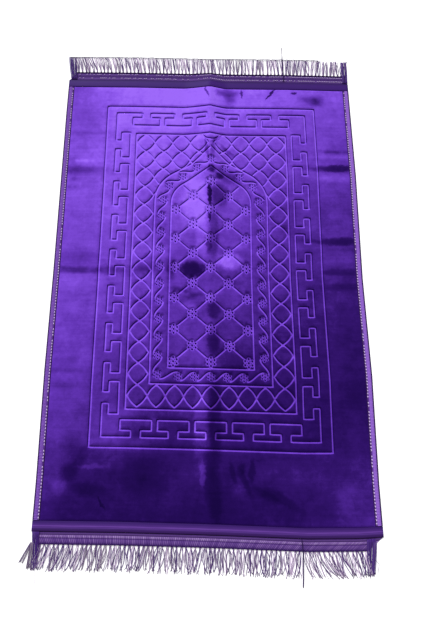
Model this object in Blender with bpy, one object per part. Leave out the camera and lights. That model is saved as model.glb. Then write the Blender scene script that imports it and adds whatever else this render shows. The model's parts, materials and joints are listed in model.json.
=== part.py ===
"""A prayer rug laid flat: embossed plush cloth, overlocked sides, satin end bands and a fringe at each end.

Lengths are in metres and +Z is up. The rug is first worked out as it was cut: X across it from its
middle line, Y along it from the near edge of the pile, Z up from the floor. lay() then puts a point
of the cut rug where it lies, on the creases left by folding. The origin ends up on the floor in the
middle of the footprint.
"""

import math

import bmesh
import bpy
from mathutils import Vector

# Cut sizes
WIDTH = 0.700  # across the rug, over both side bindings
PILE_LENGTH = 1.012  # pile showing between the two end bands
BAND_WIDTH = 0.020  # satin tape across each end
HEADING_WIDTH = 0.0235  # woven heading of each fringe trim, past its band
YARN_LENGTH = 0.047  # yarns hanging from a heading
BINDING_WIDTH = 0.015  # overlocked strip on each long side

# Thicknesses
GAP = 0.0003  # clearance between two pieces that touch
CLOTH = 0.0032  # backing and pile together
BACKING = 0.0010  # cloth without its pile, where a band covers it
PRESSED = 0.0016  # cloth squeezed inside a side binding
BINDING = 0.0006
TAPE = 0.0009
TRIM = 0.0008  # the part of a fringe trim under the band
HEADING = 0.0013
YARNS = 0.0022  # a bunch of yarns lying on the floor

# Laps at the ends, measured outwards from the edge of the pile
CLOTH_LAP = 0.0165  # backing under the band
TRIM_LAP = 0.0080  # trim under the band, from the band's outer edge inwards
TRIM_DROP = 0.0045  # length in which the trim comes down to the floor
PILE_SLOPE = 0.0020  # length in which the pile thins out towards a band or binding

# Lengthways crease: its crest, then how high and how wide it stands at places along the rug
CREST_X = 0.0045
CREASE_STATIONS = (
    # along, height, reach to the left, reach to the right
    (-0.075, 0.0000, 0.020, 0.018),
    (-0.020, 0.0016, 0.022, 0.020),
    (0.060, 0.0030, 0.024, 0.022),
    (0.300, 0.0045, 0.032, 0.026),
    (0.550, 0.0062, 0.044, 0.032),
    (0.780, 0.0094, 0.060, 0.038),
    (0.940, 0.0122, 0.066, 0.042),
    (1.012, 0.0112, 0.066, 0.042),
    (1.045, 0.0066, 0.058, 0.038),
    (1.085, 0.0000, 0.040, 0.030),
)
CREST_SHARPNESS = 1.25  # 1 is a straight-sided tent, and more hollows its sides
# Crosswise folds, pressed nearly flat again
CROSS_FOLDS = (
    # along at the left edge, along at the right edge, height, reach
    (0.262, 0.280, 0.0012, 0.030),
    (0.528, 0.598, 0.0016, 0.036),
    (0.785, 0.780, 0.0014, 0.032),
)
FOLD_FADE = WIDTH / 8  # the crosswise folds die out over this much at each side

# How far the outline strays from a straight-sided rectangle
SKEW = 0.0177  # the cross lines run this much towards the near end for each unit to the right
SIDE_STATIONS = (
    # along, sideways at the left edge, sideways at the right edge
    (-0.120, 0.0000, -0.0010),
    (0.080, 0.0009, -0.0020),
    (0.300, -0.0011, 0.0020),
    (0.520, 0.0002, -0.0014),
    (0.780, -0.0002, 0.0024),
    (0.940, -0.0006, 0.0012),
    (1.140, 0.0005, 0.0000),
)
END_STATIONS = (
    # across, lengthways at the near end, lengthways at the far end
    (-0.350, 0.0000, 0.0000),
    (-0.180, 0.0008, 0.0012),
    (0.000, -0.0005, -0.0004),
    (0.200, -0.0045, 0.0010),
    (0.300, -0.0020, -0.0004),
    (0.350, 0.0015, -0.0012),
)

# Fringes: the bunches of yarn, and the long loose thread that lies in one of them
BUNCH_PITCH = 0.0093
BUNCH_ROOT = 0.0046  # width where it leaves the heading
BUNCH_TIP = 0.0064
SHORTEST_BUNCH = 0.0035  # how far a short bunch's tip stays behind a long one's
THREAD_WIDTH = 0.0022
THREAD_DRIFT = 0.0030  # sideways, from its bunch to its tip
THREAD_BUNCH_X = 0.189
# The heading's ends are turned under, so its root line, from one place across the rug to another, may be
# shorter than the band; thread is how far the loose one passes the tips
FRINGES = {
    "fringe_far": {"outwards": 1, "root_from": -0.346, "root_to": 0.350, "thread": 0.034},
    "fringe_near": {"outwards": -1, "root_from": -0.350, "root_to": 0.330, "thread": 0.028},
}
LEAN_STATIONS = (
    # across, sideways travel of a tip at the far end, the same at the near end
    (-0.350, -0.0080, -0.0200),
    (-0.335, -0.0010, -0.0130),
    (-0.200, 0.0008, -0.0060),
    (0.050, 0.0002, 0.0000),
    (0.330, 0.0035, 0.0075),
    (0.350, 0.0040, 0.0080),
)

# Finishes: colour, roughness
FINISHES = {
    "violet_plush": ((0.110, 0.030, 0.420, 1.0), 0.90),
    "lilac_overlock": ((0.300, 0.160, 0.520, 1.0), 0.80),
    "aubergine_satin": ((0.060, 0.022, 0.150, 1.0), 0.45),
    "mauve_yarn": ((0.180, 0.100, 0.300, 1.0), 0.85),
}

# Where the grid of the cloth has its lines
CREASE_LINES = (-0.066, -0.048, -0.033, -0.021, -0.010, 0.0, 0.009, 0.018, 0.029, 0.042)  # from the crest
ACROSS_STEP = 0.056
HEADING_STEP = 0.070
ALONG_STEP = PILE_LENGTH / 30


def between(stations, at):
    """The rest of a table's row at a place between its stations, in straight lines."""
    if at <= stations[0][0]:
        return stations[0][1:]
    for before, after in zip(stations, stations[1:]):
        if at <= after[0]:
            share = (at - before[0]) / (after[0] - before[0])
            return tuple(a + share * (b - a) for a, b in zip(before[1:], after[1:]))
    return stations[-1][1:]


def rise(x, y):
    """How high the creases lift the rug off the floor."""
    height, left_reach, right_reach = between(CREASE_STATIONS, y)
    off_crest = x - CREST_X
    nearness = max(0.0, 1.0 - abs(off_crest) / (left_reach if off_crest < 0 else right_reach))
    lifted = height * nearness ** CREST_SHARPNESS
    for left_y, right_y, fold_height, reach in CROSS_FOLDS:
        fold_y = left_y + (right_y - left_y) * (x / WIDTH + 0.5)
        closeness = max(0.0, 1.0 - abs(y - fold_y) / reach)
        side_fade = min(1.0, max(0.0, WIDTH / 2 - abs(x)) / FOLD_FADE)
        lifted += fold_height * side_fade * closeness * closeness * (3.0 - 2.0 * closeness)
    return lifted


def lay(x, y, z):
    """A point of the cut rug, put where it lies."""
    rightness = min(1.0, max(0.0, x / WIDTH + 0.5))
    farness = min(1.0, max(0.0, y / PILE_LENGTH))
    left_stray, right_stray = between(SIDE_STATIONS, y)
    near_stray, far_stray = between(END_STATIONS, x)
    return Vector((
        x + left_stray + (right_stray - left_stray) * rightness,
        y - SKEW * x + near_stray + (far_stray - near_stray) * farness,
        z + rise(x, y),
    ))


def finish_of(name):
    """The Principled material of this name."""
    finish = bpy.data.materials.get(name)
    if finish is None:
        colour, roughness = FINISHES[name]
        finish = bpy.data.materials.new(name)
        finish.use_nodes = True
        shader = finish.node_tree.nodes["Principled BSDF"]
        shader.inputs["Base Color"].default_value = colour
        shader.inputs["Roughness"].default_value = roughness
        shader.inputs["Metallic"].default_value = 0.0
        finish.diffuse_color = colour
    return finish


def sheet_solid(name, cells, under, over, finish):
    """One closed sheet. cells are anticlockwise polygons of flat spots; under and over place a spot."""
    shell = bmesh.new()
    spots = {spot: None for cell in cells for spot in cell}
    lower = {spot: shell.verts.new(under(*spot)) for spot in spots}
    upper = {spot: shell.verts.new(over(*spot)) for spot in spots}
    rim = {}
    for cell in cells:
        shell.faces.new([upper[spot] for spot in cell])
        shell.faces.new([lower[spot] for spot in reversed(cell)])
        for start, end in zip(cell, cell[1:] + cell[:1]):
            if rim.pop((end, start), None) is None:
                rim[(start, end)] = True
    for start, end in rim:
        shell.faces.new((upper[end], upper[start], lower[start], lower[end]))
    bmesh.ops.recalc_face_normals(shell, faces=shell.faces)
    mesh = bpy.data.meshes.new(name)
    shell.to_mesh(mesh)
    shell.free()
    mesh.materials.append(finish_of(finish))
    mesh.shade_smooth()
    mesh.set_sharp_from_angle(angle=math.radians(35))
    piece = bpy.data.objects.new(name, mesh)
    bpy.context.scene.collection.objects.link(piece)
    return piece


def grid_cells(lines_u, lines_v):
    """Four-cornered cells between two sets of grid lines."""
    return [
        ((u0, v0), (u1, v0), (u1, v1), (u0, v1))
        for u0, u1 in zip(lines_u, lines_u[1:])
        for v0, v1 in zip(lines_v, lines_v[1:])
    ]


def evenly(start, end, step):
    """Places from start to end, no more than step apart."""
    count = max(1, math.ceil((end - start) / step - 1e-6))
    return [start + (end - start) * i / count for i in range(count + 1)]


def across_lines(left, right, step):
    """Places across the rug: close together on the lengthways crease, wide apart elsewhere."""
    crease = [CREST_X + off for off in CREASE_LINES]
    return evenly(left, crease[0], step)[:-1] + crease + evenly(crease[-1], right, step)[1:]


def pile_cloth():
    """The plush, thinned where the bindings squeeze its sides and the bands cover its ends."""
    side = WIDTH / 2 - TAPE - GAP
    squeezed = WIDTH / 2 - BINDING_WIDTH - GAP
    full = squeezed - PILE_SLOPE
    lines_x = [-side, -squeezed] + across_lines(-full, full, ACROSS_STEP) + [squeezed, side]
    lines_y = (
        [-CLOTH_LAP, -GAP]
        + evenly(PILE_SLOPE, PILE_LENGTH - PILE_SLOPE, ALONG_STEP)
        + [PILE_LENGTH + GAP, PILE_LENGTH + CLOTH_LAP]
    )

    def in_band(y):
        return y <= 0 or y >= PILE_LENGTH

    def under(x, y):
        squeezed_here = abs(x) > full + PILE_SLOPE / 2 and not in_band(y)
        return lay(x, y, BINDING + GAP if squeezed_here else 0.0)

    def over(x, y):
        if in_band(y):
            return lay(x, y, BACKING)
        if abs(x) > full + PILE_SLOPE / 2:
            return lay(x, y, BINDING + GAP + PRESSED)
        return lay(x, y, CLOTH)

    return sheet_solid("pile_cloth", grid_cells(lines_x, lines_y), under, over, "violet_plush")


def side_binding(name, side):
    """A strip folded over a long edge: a leg on the pile, the turned edge, and a leg on the floor."""
    inner = WIDTH / 2 - BINDING_WIDTH
    turned = WIDTH / 2 - BINDING
    roof = BINDING + GAP + PRESSED + GAP
    # around the strip: position across, height on its inner face, then the same on its outer face
    section = (
        (inner, BINDING, inner, 0.0),
        (turned, BINDING, WIDTH / 2, 0.0),
        (turned, roof, WIDTH / 2, roof + BINDING),
        (inner, roof, inner, roof + BINDING),
    )
    lines_y = evenly(PILE_SLOPE, PILE_LENGTH - PILE_SLOPE, ALONG_STEP)

    def inside(index, y):
        return lay(side * section[index][0], y, section[index][1])

    def outside(index, y):
        return lay(side * section[index][2], y, section[index][3])

    return sheet_solid(name, grid_cells(range(len(section)), lines_y), inside, outside, "lilac_overlock")


def end_band(name, outwards):
    """Satin tape across an end, turned down over both corners."""
    edge = 0.0 if outwards < 0 else PILE_LENGTH
    lines_y = sorted(edge + outwards * out for out in (2 * GAP, BAND_WIDTH / 2, BAND_WIDTH))
    floor_gap = BACKING + GAP + TRIM + GAP
    half = WIDTH / 2
    tops = across_lines(-half + TAPE, half - TAPE, ACROSS_STEP)
    # around the tape: position across, height on its inner face, then the same on its outer face
    section = (
        [(-half + TAPE, 0.0, -half, 0.0), (-half + TAPE, floor_gap, -half, floor_gap + TAPE)]
        + [(x, floor_gap, x, floor_gap + TAPE) for x in tops[1:-1]]
        + [(half - TAPE, floor_gap, half, floor_gap + TAPE), (half - TAPE, 0.0, half, 0.0)]
    )

    def inside(index, y):
        return lay(section[index][0], y, section[index][1])

    def outside(index, y):
        return lay(section[index][2], y, section[index][3])

    return sheet_solid(name, grid_cells(range(len(section)), lines_y), inside, outside, "aubergine_satin")


def bunch_places(fringe):
    """The middles of a fringe's bunches, evenly spread along its heading."""
    span = fringe["root_to"] - fringe["root_from"] - BUNCH_PITCH
    count = round(span / BUNCH_PITCH)
    return [fringe["root_from"] + BUNCH_PITCH / 2 + span * i / count for i in range(count + 1)]


def bunch_rows(x, root_out, lean, thread):
    """A bunch from root to tip: how far out each row is, its middle across the rug, half its width."""
    unevenness = 0.6 * math.sin(x * 410.0) + 0.4 * math.sin(x * 997.0)
    tip_out = root_out + YARN_LENGTH - SHORTEST_BUNCH * (1 - unevenness)
    has_thread = abs(x - THREAD_BUNCH_X) < BUNCH_PITCH / 2
    rows = [
        (root_out, x, BUNCH_ROOT / 2),
        (root_out + YARN_LENGTH / 2, x + lean * 0.4, (BUNCH_ROOT + BUNCH_TIP) / 4),
        (tip_out, x + lean, (THREAD_WIDTH if has_thread else BUNCH_TIP) / 2),
    ]
    if has_thread:
        rows.append((root_out + YARN_LENGTH + thread, x + lean + THREAD_DRIFT, THREAD_WIDTH / 2))
    return rows


def fringe_comb(name):
    """A fringe trim: a lap under the band, a drop to the floor, a heading, and a tooth for each bunch."""
    fringe = FRINGES[name]
    outwards = fringe["outwards"]
    edge = 0.0 if outwards < 0 else PILE_LENGTH
    root_out = BAND_WIDTH + HEADING_WIDTH
    # outwards from the edge of the pile: the trim's lines, its underside there and its thickness
    profile = (
        (BAND_WIDTH - TRIM_LAP, BACKING + GAP, TRIM),
        (BAND_WIDTH, BACKING + GAP, TRIM),
        (BAND_WIDTH + TRIM_DROP, 0.0, HEADING),
        (root_out, 0.0, HEADING),
        (root_out + YARN_LENGTH / 4, 0.0, YARNS),
    )
    places = bunch_places(fringe)
    widest = WIDTH / 2 - TAPE - GAP  # the trim stays inside the corners that the band turns down
    root_left, root_right = max(fringe["root_from"], -widest), min(fringe["root_to"], widest)
    panels = across_lines(root_left, root_right, HEADING_STEP)
    roots = [x + side * BUNCH_ROOT / 2 for x in places for side in (-1, 1)]

    def anticlockwise(spots):
        return tuple(spots) if outwards > 0 else tuple(reversed(spots))

    def panel_spot(x, out):
        if x not in (root_left, root_right):
            return (x, out)
        slant = min(1.0, max(0.0, (out - BAND_WIDTH) / HEADING_WIDTH))
        return (math.copysign(widest, x) * (1 - slant) + x * slant, out)

    cells = []
    for x0, x1 in zip(panels, panels[1:]):
        for (out0, *_), (out1, *_) in zip(profile[:4], profile[1:4]):
            corners = [panel_spot(x, out) for x, out in ((x0, out0), (x1, out0), (x1, out1), (x0, out1))]
            if out1 == root_out:
                corners[3:3] = [(x, out1) for x in reversed(roots) if x0 < x < x1]
            cells.append(anticlockwise(corners))
    for x in places:
        lean = between(LEAN_STATIONS, x)[0 if outwards > 0 else 1]
        rows = bunch_rows(x, root_out, lean, fringe["thread"])
        inner = [(x - BUNCH_ROOT / 2, root_out), (x + BUNCH_ROOT / 2, root_out)]
        inner[1:1] = [(panel, root_out) for panel in panels if abs(panel - x) < BUNCH_ROOT / 2]
        for out, middle, half in rows[1:]:
            outer = [(middle - half, out), (middle + half, out)]
            cells.append(anticlockwise([*inner, *reversed(outer)]))
            inner = outer

    def under(x, out):
        low, _ = between(profile, out)
        return lay(x, edge + outwards * out, low)

    def over(x, out):
        low, thickness = between(profile, out)
        return lay(x, edge + outwards * out, low + thickness)

    return sheet_solid(name, cells, under, over, "mauve_yarn")


def centre_on_floor(pieces):
    """Moves the meshes so that the origin is on the floor in the middle of the footprint."""
    points = [vertex.co for piece in pieces for vertex in piece.data.vertices]
    middle_x = (min(p.x for p in points) + max(p.x for p in points)) / 2
    middle_y = (min(p.y for p in points) + max(p.y for p in points)) / 2
    shift = Vector((-middle_x, -middle_y, -min(p.z for p in points)))
    for piece in pieces:
        for vertex in piece.data.vertices:
            vertex.co += shift


def main():
    for item in list(bpy.data.objects):
        bpy.data.objects.remove(item)
    pieces = [
        pile_cloth(),
        side_binding("side_binding_left", -1),
        side_binding("side_binding_right", 1),
        end_band("end_band_near", -1),
        end_band("end_band_far", 1),
        *(fringe_comb(name) for name in FRINGES),
    ]
    centre_on_floor(pieces)


main()
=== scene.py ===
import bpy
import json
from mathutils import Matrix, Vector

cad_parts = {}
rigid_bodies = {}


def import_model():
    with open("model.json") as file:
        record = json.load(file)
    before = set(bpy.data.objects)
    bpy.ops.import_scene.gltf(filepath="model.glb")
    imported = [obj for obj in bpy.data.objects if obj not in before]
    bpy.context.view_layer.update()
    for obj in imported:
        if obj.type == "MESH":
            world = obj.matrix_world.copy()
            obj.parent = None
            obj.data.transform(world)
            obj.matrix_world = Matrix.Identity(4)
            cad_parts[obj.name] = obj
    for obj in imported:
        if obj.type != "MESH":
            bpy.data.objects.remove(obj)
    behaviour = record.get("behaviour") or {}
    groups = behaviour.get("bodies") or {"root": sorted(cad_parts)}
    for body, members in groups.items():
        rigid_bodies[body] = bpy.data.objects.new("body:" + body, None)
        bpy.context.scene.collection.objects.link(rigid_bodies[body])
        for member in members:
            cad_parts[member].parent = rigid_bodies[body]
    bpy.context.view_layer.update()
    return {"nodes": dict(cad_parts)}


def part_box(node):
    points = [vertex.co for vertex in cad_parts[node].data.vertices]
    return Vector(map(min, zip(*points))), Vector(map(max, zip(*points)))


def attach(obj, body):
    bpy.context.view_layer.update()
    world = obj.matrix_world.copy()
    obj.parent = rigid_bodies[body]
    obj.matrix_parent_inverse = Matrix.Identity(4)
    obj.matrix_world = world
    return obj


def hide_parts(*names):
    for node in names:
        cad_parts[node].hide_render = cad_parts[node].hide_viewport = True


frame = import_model()

import json
import math
import random

import bpy
import numpy as np
from mathutils import Vector, noise
from mathutils.geometry import delaunay_2d_cdt
from mathutils.kdtree import KDTree

print("frame loaded:", ", ".join(sorted(frame["nodes"])))

mm = 0.001

# the rug as it was cut, and how it lies
# Cut places: x across from the middle line, y along from the near edge of the pile, z up. In metres.
rug = dict(
    width=0.700,
    pileLength=1.012,
    bandWidth=0.020,
    headingWidth=0.0235,
    yarnLength=0.047,
    bindingWidth=0.015,
    pileTop=0.0032,
    squeezedTop=0.0024,     # pile where a side binding grips it
    squeezedUnder=0.0009,
    backingTop=0.0010,      # cloth under an end band
    clothLap=0.0165,        # how far the backing runs on under a band
    bandTop=0.0033,
)

crease = dict(
    crestX=0.0045,
    sharpness=1.25,
    # along, height, reach to the left, reach to the right
    stations=np.array([
        (-0.075, 0.0000, 0.020, 0.018),
        (-0.020, 0.0016, 0.022, 0.020),
        (0.060, 0.0030, 0.024, 0.022),
        (0.300, 0.0045, 0.032, 0.026),
        (0.550, 0.0062, 0.044, 0.032),
        (0.780, 0.0094, 0.060, 0.038),
        (0.940, 0.0122, 0.066, 0.042),
        (1.012, 0.0112, 0.066, 0.042),
        (1.045, 0.0066, 0.058, 0.038),
        (1.085, 0.0000, 0.040, 0.030),
    ]),
    # along at the left edge, along at the right edge, height, reach
    crossFolds=((0.262, 0.280, 0.0012, 0.030), (0.528, 0.598, 0.0016, 0.036), (0.785, 0.780, 0.0014, 0.032)),
    fade=0.700 / 8,
)

outline = dict(
    skew=0.0177,
    # along, sideways at the left edge, sideways at the right edge
    sides=np.array([
        (-0.120, 0.0000, -0.0010), (0.080, 0.0009, -0.0020), (0.300, -0.0011, 0.0020),
        (0.520, 0.0002, -0.0014), (0.780, -0.0002, 0.0024), (0.940, -0.0006, 0.0012), (1.140, 0.0005, 0.0000),
    ]),
    # across, lengthways at the near end, lengthways at the far end
    ends=np.array([
        (-0.350, 0.0000, 0.0000), (-0.180, 0.0008, 0.0012), (0.000, -0.0005, -0.0004),
        (0.200, -0.0045, 0.0010), (0.300, -0.0020, -0.0004), (0.350, 0.0015, -0.0012),
    ]),
)


def column(table, at, index):
    return np.interp(at, table[:, 0], table[:, index])


def riseAt(x, y):
    height, left, right = (column(crease["stations"], y, i) for i in (1, 2, 3))
    off = x - crease["crestX"]
    nearness = np.clip(1 - np.abs(off) / np.where(off < 0, left, right), 0, 1)
    lifted = height * nearness ** crease["sharpness"]
    for leftY, rightY, foldHeight, reach in crease["crossFolds"]:
        foldY = leftY + (rightY - leftY) * (x / rug["width"] + 0.5)
        close = np.clip(1 - np.abs(y - foldY) / reach, 0, 1)
        sideFade = np.clip((rug["width"] / 2 - np.abs(x)) / crease["fade"], 0, 1)
        lifted = lifted + foldHeight * sideFade * close * close * (3 - 2 * close)
    return lifted


def laidWithoutShift(cut):
    x, y, z = np.asarray(cut, float).reshape(-1, 3).T
    rightness = np.clip(x / rug["width"] + 0.5, 0, 1)
    farness = np.clip(y / rug["pileLength"], 0, 1)
    leftStray, rightStray = (column(outline["sides"], y, i) for i in (1, 2))
    nearStray, farStray = (column(outline["ends"], x, i) for i in (1, 2))
    return np.column_stack([
        x + leftStray + (rightStray - leftStray) * rightness,
        y - outline["skew"] * x + nearStray + (farStray - nearStray) * farness,
        z + riseAt(x, y),
    ])


def findShift():
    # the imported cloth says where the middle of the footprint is
    half = rug["width"] / 2 - 0.0012
    ys = np.linspace(-rug["clothLap"], rug["pileLength"] + rug["clothLap"], 200)
    xs = np.linspace(-half, half, 200)
    rim = [(sx * half, y, 0) for sx in (-1, 1) for y in ys] + [(x, y, 0) for x in xs for y in (ys[0], ys[-1])]
    low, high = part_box("pile_cloth")
    laid = laidWithoutShift(rim)
    found = (np.array(low) + np.array(high) - laid.min(0) - laid.max(0)) / 2
    return np.array([found[0], found[1], 0.0])


shift = findShift()


def layAll(cut):
    return laidWithoutShift(cut) + shift


# small tools
def deselectAll():
    for item in bpy.context.view_layer.objects:
        item.select_set(False)


def srgb(hexColour, alpha=1.0):
    parts = [int(hexColour[i:i + 2], 16) / 255 for i in (1, 3, 5)]
    return [p / 12.92 if p <= 0.04045 else ((p + 0.055) / 1.055) ** 2.4 for p in parts] + [alpha]


def addNode(tree, kind, inputs=None, stops=(), **settings):
    # inputs are values or links, and stops are a colour ramp's places and colours
    node = tree.nodes.new(kind)
    for name, value in settings.items():
        setattr(node, name, value)
    if stops:
        ends = node.color_ramp.elements
        ends[0].position, ends[0].color = stops[0][0], srgb(stops[0][1])
        ends[1].position, ends[1].color = stops[-1][0], srgb(stops[-1][1])
        for place, colour in stops[1:-1]:
            ends.new(place).color = srgb(colour)
    for socket, value in (inputs or {}).items():
        if isinstance(value, bpy.types.NodeSocket):
            tree.links.new(value, node.inputs[socket])
        else:
            node.inputs[socket].default_value = value
    return node


def newFinish(name):
    finish = bpy.data.materials.new(name)
    finish.use_nodes = True
    return finish, finish.node_tree, finish.node_tree.nodes["Principled BSDF"]


def meshPiece(name, points, faces, finish, shades=None):
    mesh = bpy.data.meshes.new(name)
    mesh.from_pydata([tuple(p) for p in points], [], faces)
    if shades is not None:
        layer = mesh.color_attributes.new("shade", "FLOAT_COLOR", "POINT")
        layer.data.foreach_set("color", np.asarray(shades, np.float32).ravel())
    mesh.materials.append(finish)
    mesh.validate()
    mesh.shade_smooth()
    piece = bpy.data.objects.new(name, mesh)
    bpy.context.scene.collection.objects.link(piece)
    return piece


# the embossed pattern, in millimetres
pattern = dict(
    middleX=6.3,
    outerHalf=253.0, outerNear=142.3, outerFar=955.2,
    innerHalf=180.5, innerNear=220.8, innerFar=879.4,
    # how far in from the outer frame the key line's three levels run
    sideLevels=(23.5, 37.0, 58.0), nearLevels=(21.0, 35.0, 56.5), farLevels=(18.5, 31.0, 52.3),
    endPitch=78.5, endGap=10.3, endReach=33.0,
    sideMiddle=546.3, sidePitch=86.3, sideGap=12.0, sideReach=34.0,
    latticeStart=28.5, latticeStep=21.35, latticeFirst=249.4, latticePitch=46.6, nearLatticeStep=19.3,
    latticeBow=2.2,
    nicheHalf=131.6, nicheNear=275.0, fieldHalf=93.0, fieldNear=310.2,
    rosetteStep=40.7, rosetteFirst=324.3, rosettePitch=71.4,
    grooveFloor=1.0, grooveMiddle=1.9, grooveTop=2.9, grooveDepth=2.1,
    tuftRing=8.8, tuftRadius=2.0, flowerSize=0.78,
)

# pointed arches, drawn with a compass and a rule: half width, where the upright ends, radius of the bend,
# how many degrees it turns, half width where the slope steepens (0 for none), and the point
arches = dict(
    niche=dict(half=131.6, spring=703.0, radius=80.0, turn=60.0, neck=47.0, point=844.0),
    vine=dict(half=112.2, spring=700.0, radius=68.0, turn=57.0, neck=0.0, point=811.0),
    field=dict(half=93.0, spring=698.0, radius=58.0, turn=56.0, neck=0.0, point=790.5),
)
finial = dict(centre=886.5, radius=22.5)

# a stem swings over from one side to the other between two flowers: shares of the gap, then mm
stems = dict(
    side=dict(first=0.15, last=0.93, swing=9.0, aside=-0.4),
    arch=dict(first=0.0, last=0.72, swing=8.0, aside=4.0),
)


def archLine(half, spring, radius, turn, neck, point):
    # right half of a pointed arch, from its spring up
    bend = np.radians(np.linspace(0, turn, 12))
    line = [(half - radius * (1 - math.cos(a)), spring + radius * math.sin(a)) for a in bend]
    if neck:
        x, y = line[-1]
        line.append((neck, y + (x - neck) / math.tan(math.radians(turn))))
    return line + [(0.0, point)]


def placesAlong(line, shares):
    line = np.array(line, float)
    gone = np.concatenate([[0], np.cumsum(np.linalg.norm(np.diff(line, axis=0), axis=1))])
    return [tuple(float(np.interp(share * gone[-1], gone, line[:, i])) for i in (0, 1)) for share in shares]


def straightThrough(points, step, closed=False):
    p = [np.array(q, float) for q in points]
    if closed:
        p.append(p[0])
    out = []
    for a, b in zip(p, p[1:]):
        count = max(1, math.ceil(np.linalg.norm(b - a) / step))
        out += [a + (b - a) * i / count for i in range(count)]
    return np.array(out if closed else out + [p[-1]])


def mirrored(line):
    return np.column_stack([2 * pattern["middleX"] - line[:, 0], line[:, 1]])


def fromMiddle(points):
    return [(pattern["middleX"] + x, y) for x, y in points]


def frameCorners(half, near, far):
    m = pattern["middleX"]
    return [(m - half, near), (m + half, near), (m + half, far), (m - half, far)]


def keyLine():
    # one closed line that folds in and out along all four sides
    k, m = pattern, pattern["middleX"]
    left, right = m - k["outerHalf"], m + k["outerHalf"]
    ends = [m + i * k["endPitch"] for i in (-2, -1, 0, 1, 2)]
    sides = [k["sideMiddle"] + (i - 3.5) * k["sidePitch"] for i in range(8)]
    runs = (
        # places along it, gap, reach, levels, and how a place and a level become a point
        (ends, k["endGap"], k["endReach"], k["nearLevels"], lambda a, v: (a, k["outerNear"] + v)),
        (sides, k["sideGap"], k["sideReach"], k["sideLevels"], lambda a, v: (right - v, a)),
        (ends[::-1], -k["endGap"], -k["endReach"], k["farLevels"], lambda a, v: (a, k["outerFar"] - v)),
        (sides[::-1], -k["sideGap"], -k["sideReach"], k["sideLevels"], lambda a, v: (left + v, a)),
    )
    corners = (
        (left + k["sideLevels"][0], k["outerNear"] + k["nearLevels"][0]),
        (right - k["sideLevels"][0], k["outerNear"] + k["nearLevels"][0]),
        (right - k["sideLevels"][0], k["outerFar"] - k["farLevels"][0]),
        (left + k["sideLevels"][0], k["outerFar"] - k["farLevels"][0]),
    )
    line = []
    for corner, (places, gap, reach, (one, two, three), point) in zip(corners, runs):
        line.append(corner)
        for q in places:
            line += [point(q - gap, one), point(q - gap, two), point(q - reach, two), point(q - reach, three),
                     point(q + reach, three), point(q + reach, two), point(q + gap, two), point(q + gap, one)]
    return line


def nicheX(y):
    # half width of the niche at a place along it
    line = archLine(**arches["niche"])
    if not pattern["nicheNear"] < y < line[-1][1]:
        return -1
    return float(np.interp(y, [p[1] for p in line], [p[0] for p in line]))


def latticeEdge(even, odd):
    # one side of a lozenge, bowed like a sprung lath
    a, b = np.array(even, float), np.array(odd, float)
    along = b - a
    across = np.array([-along[1], along[0]]) / np.linalg.norm(along)
    if across @ (along[0], -along[1]) < 0:
        across = -across
    t = np.linspace(0, 1, 9)[:, None]
    return a + along * t + across * pattern["latticeBow"] * np.sin(math.pi * t)


def latticeLines():
    k, m = pattern, pattern["middleX"]
    half = k["latticePitch"] / 2
    lines = []
    for side in (-1, 1):
        for i in range(-1, 7):
            even, odd = (i, i + 1) if i % 2 == 0 else (i + 1, i)
            evenX, oddX = (m + side * (k["latticeStart"] + k["latticeStep"] * j) for j in (even, odd))
            for n in range(-1, 14):
                evenY = k["latticeFirst"] + half + k["latticePitch"] * n
                for oddY in (evenY - half, evenY + half):
                    low, high = min(evenY, oddY), max(evenY, oddY)
                    if low > k["innerNear"] and high < k["innerFar"] + 3 and (i >= 5 or high > 700):
                        lines.append(latticeEdge((evenX, evenY), (oddX, oddY)))
        for i in range(7):
            even, odd = (i, i + 1) if i % 2 == 0 else (i + 1, i)
            evenX, oddX = (m + side * k["nearLatticeStep"] * j for j in (even, odd))
            for evenY in (k["latticeFirst"] - half, k["latticeFirst"] + half):
                lines.append(latticeEdge((evenX, evenY), (oddX, k["latticeFirst"])))
    # what would run into the niche, the finial or the frame is left off
    kept = []
    for line in lines:
        run = []
        for x, y in line:
            inNiche = abs(x - m) < nicheX(y) + 1.0 and y > k["nicheNear"] + 1
            inFinial = math.hypot(x - m, y - finial["centre"]) < finial["radius"] + 0.8
            if inNiche or inFinial or not k["innerNear"] < y < k["innerFar"]:
                if len(run) > 2:
                    kept.append(np.array(run))
                run = []
            else:
                run.append((x, y))
        if len(run) > 2:
            kept.append(np.array(run))
    return kept


def rosettes():
    k, m = pattern, pattern["middleX"]
    found = []
    for i in range(-2, 3):
        middle = i % 2
        rows = 6 if middle or i else 7
        for n in range(rows):
            along = k["rosetteFirst"] + k["rosettePitch"] * (n + (0.5 if middle else 0))
            found.append((m + i * k["rosetteStep"], along, i))
    return found


def fieldLines():
    # straight lines that tie the rosettes into lozenges
    k = pattern
    lines, reach = [], 12.6
    spots = rosettes()
    for x0, y0, i0 in spots:
        for x1, y1, i1 in spots:
            if i1 == i0 + 1 and abs(abs(y1 - y0) - k["rosettePitch"] / 2) < 1:
                a, b = np.array((x0, y0)), np.array((x1, y1))
                unit = (b - a) / np.linalg.norm(b - a)
                lines.append(straightThrough((a + unit * reach, b - unit * reach), 4))
    return lines


def vinePath():
    # flowers of the right-hand half, from the near middle up to the niche's point: across, along
    side = [(115.4, 295.2 + 41.0 * n) for n in range(10)]
    top = placesAlong(archLine(**arches["vine"]), np.linspace(0.03, 1, 5))
    return [(0, 291.8), (35, 291.8), (70.5, 291.8)] + side + top


def vineStem(a, b, first, last, swing, aside):
    a, b = np.array(a, float), np.array(b, float)
    gap = b - a
    right = np.array([gap[1], -gap[0]]) / np.linalg.norm(gap)
    t = np.linspace(0, 1, 17)[:, None]
    return a + gap * (first + (last - first) * t) + right * (aside + swing * np.cos(math.pi * t))


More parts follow.
